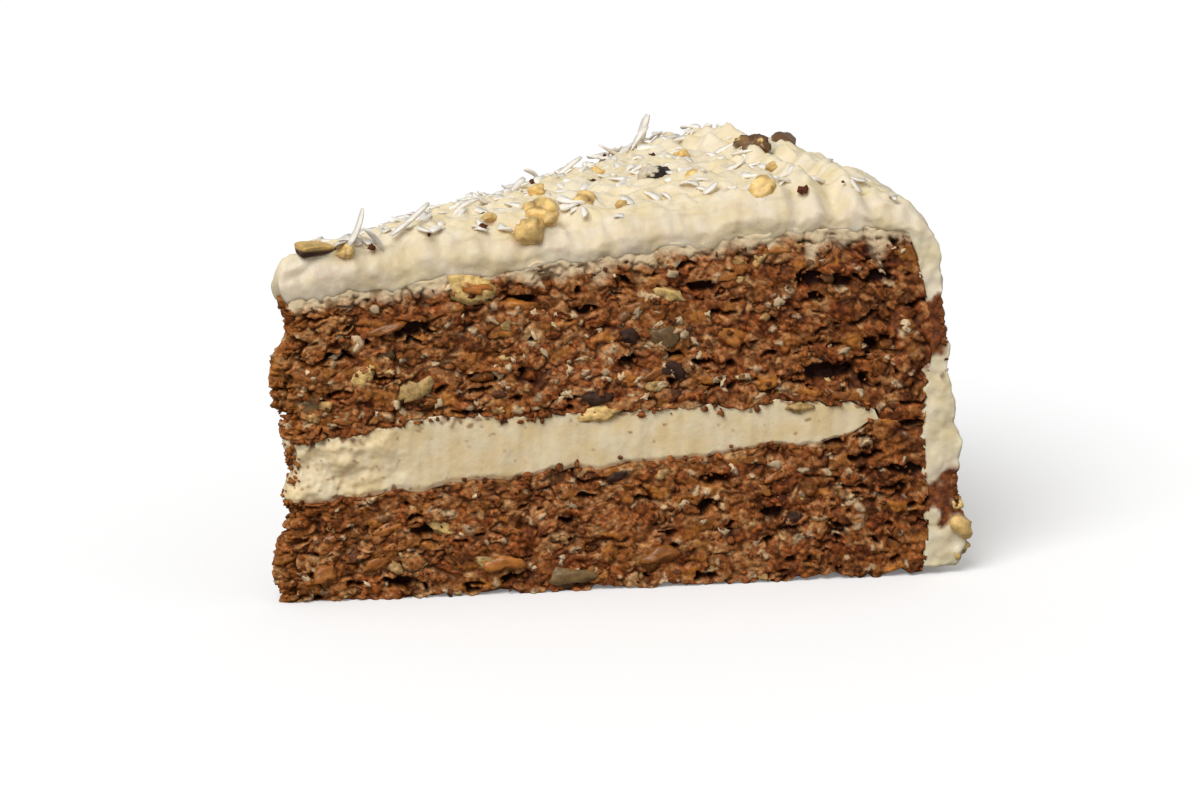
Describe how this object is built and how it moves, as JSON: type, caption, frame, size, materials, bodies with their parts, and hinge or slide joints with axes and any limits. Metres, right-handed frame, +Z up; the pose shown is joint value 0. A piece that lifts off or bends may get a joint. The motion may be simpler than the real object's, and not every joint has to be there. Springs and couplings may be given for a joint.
{
  "type": "carrot cake slice",
  "caption": "Wedge of layered carrot cake with cream filling, cream frosting over the top and rim, and coconut and nut topping; a dessert portion that stands on its base.",
  "frame": {"origin": "centre of the slice's footprint box, on the surface that it stands on", "axes": "+X along the slice's middle from the tip to the frosted rim, +Y towards the cut face on the left of that line, +Z up"},
  "size_m": [0.1316, 0.0836, 0.0802],
  "materials": {
    "sponge": "moist open crumb",
    "cream": "smooth knife-cut cream",
    "frosting": "soft satin cream with coconut",
    "walnut": "waxy kernel",
    "walnut_skin": "thin dark skin",
    "raisin": "wrinkled and slightly glossy"
  },
  "bodies": {
    "root": {"sponge_bottom": "sponge", "cream_filling": "cream", "sponge_top": "sponge", "frosting": "frosting", "walnut_tip": "walnut", "walnut_edge": "walnut", "walnut_lobe": "walnut", "walnut_gold": "walnut", "raisin_top": "raisin", "walnut_sunk": "walnut", "walnut_skin": "walnut_skin", "walnut_nugget": "walnut", "walnut_shoulder": "walnut_skin"}
  },
  "joints": []
}
